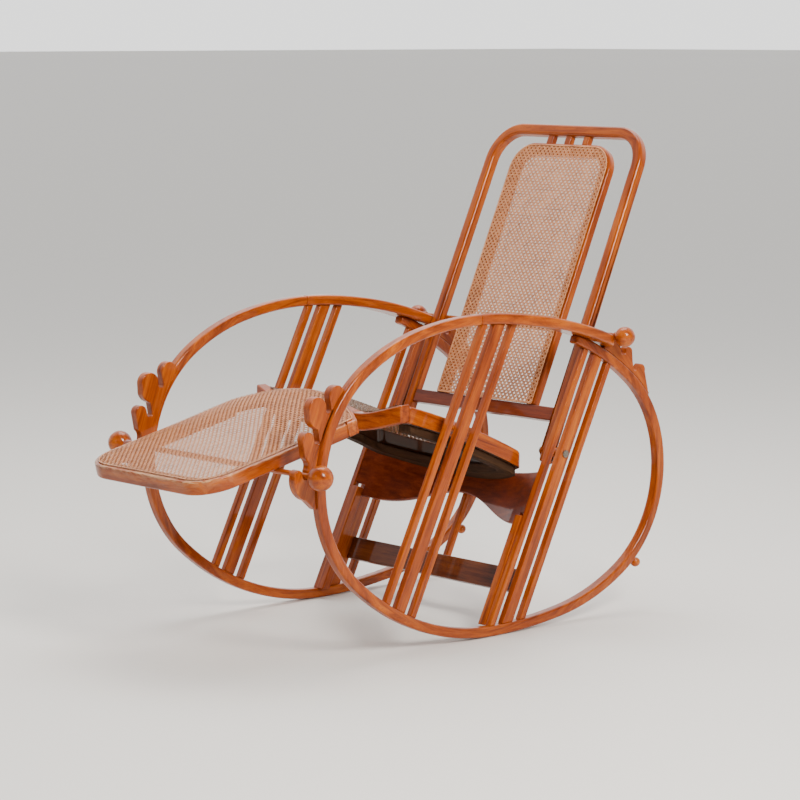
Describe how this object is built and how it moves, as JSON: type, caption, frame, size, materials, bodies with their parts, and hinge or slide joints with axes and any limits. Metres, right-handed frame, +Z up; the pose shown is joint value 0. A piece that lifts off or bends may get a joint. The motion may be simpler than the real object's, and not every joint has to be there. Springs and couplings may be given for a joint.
{
  "type": "adjustable rocking chair",
  "caption": "Bentwood rocking chair with ring-shaped rocker sides, flat arms, slatted sides, cane seat, reclining cane back and a hinged cane footrest.",
  "frame": {"origin": "on the floor, midway between the two rings and midway along the chair's length", "axes": "+X to the sitter's left, +Y from the footrest to the back, +Z up"},
  "size_m": [0.7109, 1.2292, 1.0514],
  "materials": {
    "beech": "glossy amber varnish",
    "dark_beech": "glossy dark red varnish",
    "raw_beech": "dark unpolished",
    "cane": "woven cane, satin",
    "steel": "aged dark steel"
  },
  "bodies": {
    "frame": {"ring_left": "beech", "ring_right": "beech", "arm_left": "beech", "arm_right": "beech", "front_slat_left_1": "beech", "front_slat_left_2": "beech", "front_slat_left_3": "beech", "rear_slat_left_1": "beech", "rear_slat_left_2": "beech", "rear_slat_left_3": "beech", "front_slat_right_1": "beech", "front_slat_right_2": "beech", "front_slat_right_3": "beech", "rear_slat_right_1": "beech", "rear_slat_right_2": "beech", "rear_slat_right_3": "beech", "post_left": "beech", "post_right": "beech", "front_ratchet_left": "beech", "front_ratchet_right": "beech", "rear_ratchet_left": "beech", "rear_ratchet_right": "beech", "stopper_peg_left": "beech", "stopper_peg_right": "beech", "lower_stretcher": "beech", "seat_apron": "dark_beech", "centre_strut": "beech", "seat_frame": "beech", "seat_under_frame": "raw_beech", "seat_front_rail": "beech", "seat_cane": "cane", "seat_spacers": "beech", "seat_screws": "steel", "seat_hinge_leaf": "steel", "footrest_hinge_pin": "steel", "pivot_bolts": "steel", "pivot_spacers": "beech"},
    "back": {"back_hoop": "beech", "back_bottom_rail": "dark_beech", "back_panel_frame": "beech", "back_pegs": "beech", "back_cane": "cane"},
    "footrest": {"footrest_hinge_leaf": "steel", "footrest_frame": "beech", "footrest_rear_rail": "beech", "footrest_cane": "cane"},
    "rear_rod": {"rear_rod": "beech", "rear_rod_balls": "beech"},
    "front_rod": {"front_rod": "beech", "front_rod_balls": "beech"}
  },
  "joints": [
    {"name": "back_recline", "type": "hinge", "parent": "frame", "child": "back", "pos_m": [0, 0.29311, 0.366], "axis": [-1, 0, 0], "range_deg": [0, 22.6]},
    {"name": "rear_rod_shift", "type": "hinge", "parent": "frame", "child": "rear_rod", "pos_m": [0, 0.45966, 0.56371], "axis": [-1, 0, 0], "range_deg": [0, 156]},
    {"name": "footrest_tilt", "type": "hinge", "parent": "frame", "child": "footrest", "pos_m": [0, -0.1574, 0.508], "axis": [-1, 0, 0], "range_deg": [0, 30]},
    {"name": "front_rod_turn", "type": "hinge", "parent": "frame", "child": "front_rod", "pos_m": [0, -0.4234, 0.3926], "axis": [1, 0, 0], "continuous": true}
  ],
  "couplings": [
    {"joint": "rear_rod_shift", "follows": "back_recline", "ratio": 6.896}
  ]
}
